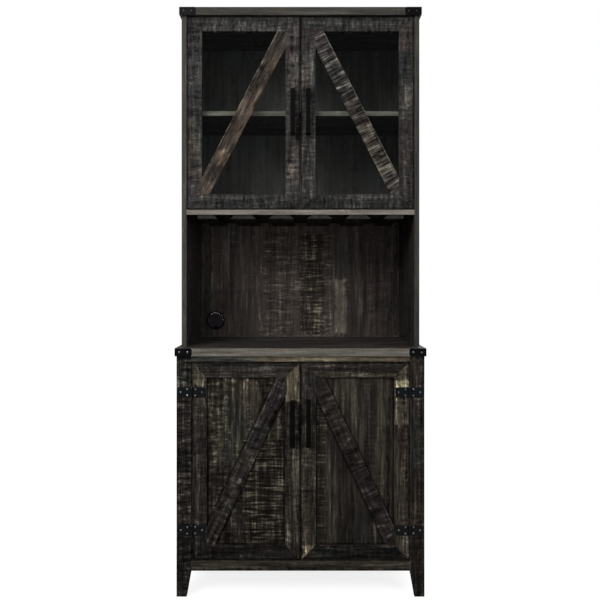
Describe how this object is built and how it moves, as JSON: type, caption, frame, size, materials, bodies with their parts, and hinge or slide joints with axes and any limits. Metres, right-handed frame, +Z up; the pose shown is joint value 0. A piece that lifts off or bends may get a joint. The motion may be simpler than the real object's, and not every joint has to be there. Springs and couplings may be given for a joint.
{
  "type": "bar cabinet",
  "caption": "Tall free-standing bar cabinet: panelled doors below, open bay with stemware rails, glass doors above, diagonal braces and black bar handles.",
  "frame": {"origin": "on the floor, in the middle of the whole part's width and depth", "axes": "+X to the right seen from the front, the front faces -Y, +Z up"},
  "size_m": [0.7614, 0.421, 1.8],
  "materials": {
    "carcass_wood": "dark weathered charcoal wood-grain laminate, matt, with saw marks",
    "post_wood": "dark weathered charcoal wood-grain laminate, matt, with saw marks",
    "counter_wood": "dark weathered charcoal wood-grain laminate, matt, with saw marks",
    "back_panel_wood": "dark weathered charcoal wood-grain laminate, matt, with saw marks",
    "shelf_wood": "dark weathered charcoal wood-grain laminate, matt, with saw marks",
    "lower_door_wood": "dark weathered charcoal wood-grain laminate, matt, with saw marks",
    "lower_panel_wood": "dark weathered charcoal wood-grain laminate, matt, with saw marks",
    "upper_door_wood": "dark weathered charcoal wood-grain laminate, matt, with saw marks",
    "brace_wood": "dark weathered charcoal wood-grain laminate, matt, with saw marks",
    "door_glass": "clear polished",
    "black_metal": "satin black powder coat",
    "bright_steel": "bright zinc plated",
    "hinge_steel": "satin nickel plated",
    "black_plastic": "moulded, matt black"
  },
  "bodies": {
    "cabinet": {"base_side_left": "carcass_wood", "base_side_right": "carcass_wood", "front_post_left": "post_wood", "front_post_right": "post_wood", "base_top_rail": "post_wood", "base_bottom_rail": "post_wood", "base_bottom_board": "shelf_wood", "base_back_panel": "back_panel_wood", "base_shelf": "shelf_wood", "counter_top": "counter_wood", "hutch_side_left": "carcass_wood", "hutch_side_right": "carcass_wood", "fixed_shelf": "shelf_wood", "inner_shelf": "shelf_wood", "top_board": "counter_wood", "hutch_back_panel": "back_panel_wood", "shelf_pins": "bright_steel", "corner_brackets": "black_metal", "bracket_screws": "bright_steel", "stemware_rails": "shelf_wood", "rail_screws": "bright_steel", "grommet_ring": "black_plastic", "hinge_post_leaves": "black_metal", "hinge_pins": "bright_steel", "hinge_post_screws": "bright_steel", "cup_hinge_arms": "hinge_steel", "door_catches": "black_plastic"},
    "grommet_cap": {"grommet_cap": "black_plastic"},
    "lower_left_door": {"lower_left_stiles": "lower_door_wood", "lower_left_rails": "lower_door_wood", "lower_left_panel": "lower_panel_wood", "lower_left_brace": "brace_wood", "lower_left_handle": "black_metal", "lower_left_handle_screws": "bright_steel", "lower_left_hinge_leaves": "black_metal", "lower_left_hinge_screws": "bright_steel", "lower_left_strike_plate": "bright_steel"},
    "lower_right_door": {"lower_right_stiles": "lower_door_wood", "lower_right_rails": "lower_door_wood", "lower_right_panel": "lower_panel_wood", "lower_right_brace": "brace_wood", "lower_right_handle": "black_metal", "lower_right_handle_screws": "bright_steel", "lower_right_hinge_leaves": "black_metal", "lower_right_hinge_screws": "bright_steel", "lower_right_strike_plate": "bright_steel"},
    "upper_left_door": {"upper_left_stiles": "upper_door_wood", "upper_left_rails": "upper_door_wood", "upper_left_glass": "door_glass", "upper_left_brace": "brace_wood", "upper_left_handle": "black_metal", "upper_left_handle_screws": "bright_steel", "upper_left_cup_hinges": "hinge_steel"},
    "upper_right_door": {"upper_right_stiles": "upper_door_wood", "upper_right_rails": "upper_door_wood", "upper_right_glass": "door_glass", "upper_right_brace": "brace_wood", "upper_right_handle": "black_metal", "upper_right_handle_screws": "bright_steel", "upper_right_cup_hinges": "hinge_steel"}
  },
  "joints": [
    {"name": "lower_left_door_hinge", "type": "hinge", "parent": "cabinet", "child": "lower_left_door", "pos_m": [-0.32975, -0.184, 0.4095], "axis": [0, 0, -1], "range_deg": [0, 170]},
    {"name": "lower_right_door_hinge", "type": "hinge", "parent": "cabinet", "child": "lower_right_door", "pos_m": [0.32975, -0.184, 0.4095], "axis": [0, 0, 1], "range_deg": [0, 170]},
    {"name": "upper_left_door_hinge", "type": "hinge", "parent": "cabinet", "child": "upper_left_door", "pos_m": [-0.35175, -0.1315, 1.4755], "axis": [0, 0, -1], "range_deg": [0, 105]},
    {"name": "upper_right_door_hinge", "type": "hinge", "parent": "cabinet", "child": "upper_right_door", "pos_m": [0.35175, -0.1315, 1.4755], "axis": [0, 0, 1], "range_deg": [0, 105]},
    {"name": "grommet_cap_turn", "type": "hinge", "parent": "cabinet", "child": "grommet_cap", "pos_m": [-0.3037, 0.205, 0.8106], "axis": [0, 1, 0], "continuous": true}
  ]
}
